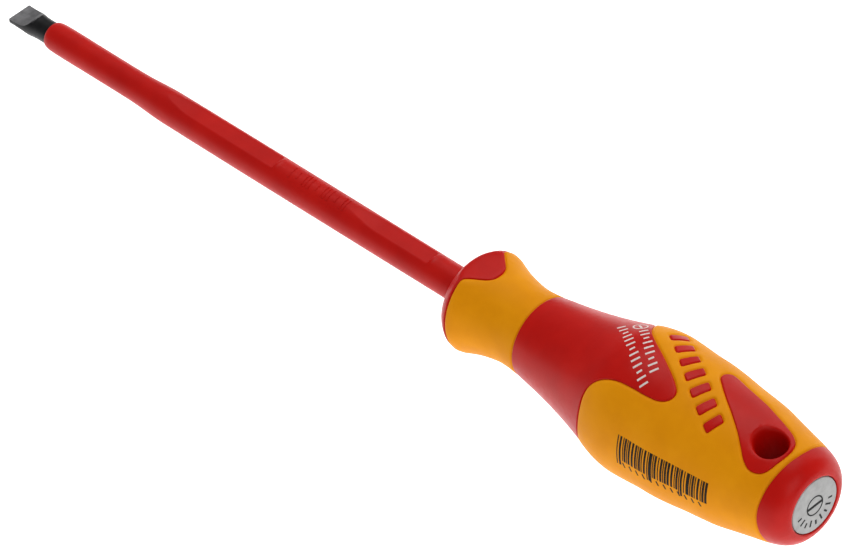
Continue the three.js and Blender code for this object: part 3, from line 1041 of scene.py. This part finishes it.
BODY_RED = moulded_red("red_plastic", srgb(194, 12, 4), srgb(188, 9, 3), srgb(200, 16, 6), 0.34)
SLEEVE_RED = moulded_red("red_insulation", srgb(194, 14, 6), srgb(187, 11, 4), srgb(200, 18, 8), 0.40)
CORE_RED = moulded_red("core_plastic", srgb(140, 20, 22), srgb(128, 16, 18), srgb(150, 25, 27), 0.55)
YELLOW = soft_yellow()
STEEL = black_steel()
GREY = grey_disc()
WHITE_INK = ink("white_ink", srgb(236, 226, 222), srgb(222, 208, 203))
BLACK_INK = ink("black_ink", srgb(22, 17, 12), srgb(34, 27, 16))
DISC_INK = ink("disc_ink", srgb(30, 31, 31), srgb(44, 45, 45))


# ---------------------------------------------------------------- assembly
def finish_piece(piece, material, slot, *nodes):
    piece.data.materials.clear()
    piece.data.materials.append(material)
    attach(piece, "root")
    if nodes:
        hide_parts(*nodes)


red_body, front_soft, rear_soft = build_handle()
finish_piece(red_body, BODY_RED, "red_plastic", "handle_shell")
finish_piece(front_soft, YELLOW, "yellow_grip", "front_grip")
finish_piece(rear_soft, YELLOW, "yellow_grip", "rear_grip")
finish_piece(build_blade(), STEEL, "blackened_steel", "blade")
finish_piece(build_sleeve(), SLEEVE_RED, "red_insulation", "blade_insulation")
finish_piece(build_sleeve_marks(), SLEEVE_RED, "red_insulation")
finish_piece(build_disc(), GREY, "grey_plastic", "end_badge")
finish_piece(build_disc_marks(), DISC_INK, "grey_plastic")
finish_piece(build_white_print(), WHITE_INK, "red_plastic")
finish_piece(build_black_print(), BLACK_INK, "yellow_grip")

# The core stays as the CAD made it, hidden in the handle.
for material_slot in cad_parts["handle_core"].material_slots:
    material_slot.material = CORE_RED

# ---------------------------------------------------------------- floor, light and camera
# From here on lengths are in metres.
FLOOR_REACH = 6.0
FLOOR_DROP = 0.075  # so far below the tool that its shadow is too soft to see
corners = [(x * FLOOR_REACH, y * FLOOR_REACH, 0) for x, y in ((-1, -1), (1, -1), (1, 1), (-1, 1))]
floor_mesh = bpy.data.meshes.new("floor")
floor_mesh.from_pydata(corners, [], [(0, 1, 2, 3)])
floor = bpy.data.objects.new("floor", floor_mesh)
floor.location = (0, 0, cad_box[0][2] - FLOOR_DROP)
bpy.context.scene.collection.objects.link(floor)
paper = Finish("paper", Roughness=0.95)
paper.shader.inputs["Emission Color"].default_value = (1, 1, 1, 1)
paper.shader.inputs["Emission Strength"].default_value = 0.75
paper.colour(paper.ramp(paper.noise(60, 3.0), [(0.3, (0.93, 0.93, 0.93)), (0.7, (0.95, 0.95, 0.95))]))
floor_mesh.materials.append(paper.material)

world = bpy.data.worlds.new("studio")
world.use_nodes = True
background = world.node_tree.nodes["Background"]
background.inputs["Color"].default_value = (1, 1, 1, 1)
background.inputs["Strength"].default_value = 0.30
bpy.context.scene.world = world

AIM = Vector((0.157, 0.0, -0.005))  # what the lights and the camera point at


def way_from(azimuth, elevation):
    """The direction from AIM, by degrees round from -Y towards +X and degrees up."""
    a, e = math.radians(azimuth), math.radians(elevation)
    return Vector((math.sin(a) * math.cos(e), -math.cos(a) * math.cos(e), math.sin(e)))


def softbox(name, azimuth, elevation, distance, size, power, mirrored=True):
    """A square light; mirrored=False keeps its reflection out of the surfaces."""
    way = way_from(azimuth, elevation)
    light = bpy.data.lights.new(name, "AREA")
    light.shape = "SQUARE"
    light.size = size
    light.energy = power
    lamp = bpy.data.objects.new(name, light)
    lamp.location = AIM + way * distance
    lamp.rotation_euler = way.to_track_quat("Z", "Y").to_euler()
    lamp.visible_glossy = mirrored
    bpy.context.scene.collection.objects.link(lamp)


softbox("top_light", 200, 70, 1.3, 1.1, 8.2)
softbox("back_light", 185, 24, 1.7, 1.3, 6.0)
softbox("butt_light", 78, 30, 1.6, 0.9, 3.6)
softbox("front_light", 262, 8, 1.3, 0.6, 3.5, mirrored=False)

CAMERA_AZIMUTH, CAMERA_ELEVATION, CAMERA_ROLL = 49.4, 41.9, -6.13
CAMERA_DISTANCE, CAMERA_LENS = 1.809, 294.8


def add_camera():
    back = way_from(CAMERA_AZIMUTH, CAMERA_ELEVATION)
    data = bpy.data.cameras.new("camera")
    data.lens = CAMERA_LENS
    data.sensor_width = 36
    data.clip_start = 0.05
    camera = bpy.data.objects.new("camera", data)
    level = back.to_track_quat("Z", "Y").to_matrix()
    camera.matrix_world = Matrix.Translation(AIM + back * CAMERA_DISTANCE) @ (
        level @ Matrix.Rotation(math.radians(CAMERA_ROLL), 3, "Z")).to_4x4()
    bpy.context.scene.collection.objects.link(camera)
    bpy.context.scene.camera = camera


add_camera()
bpy.context.scene.view_settings.view_transform = "Standard"
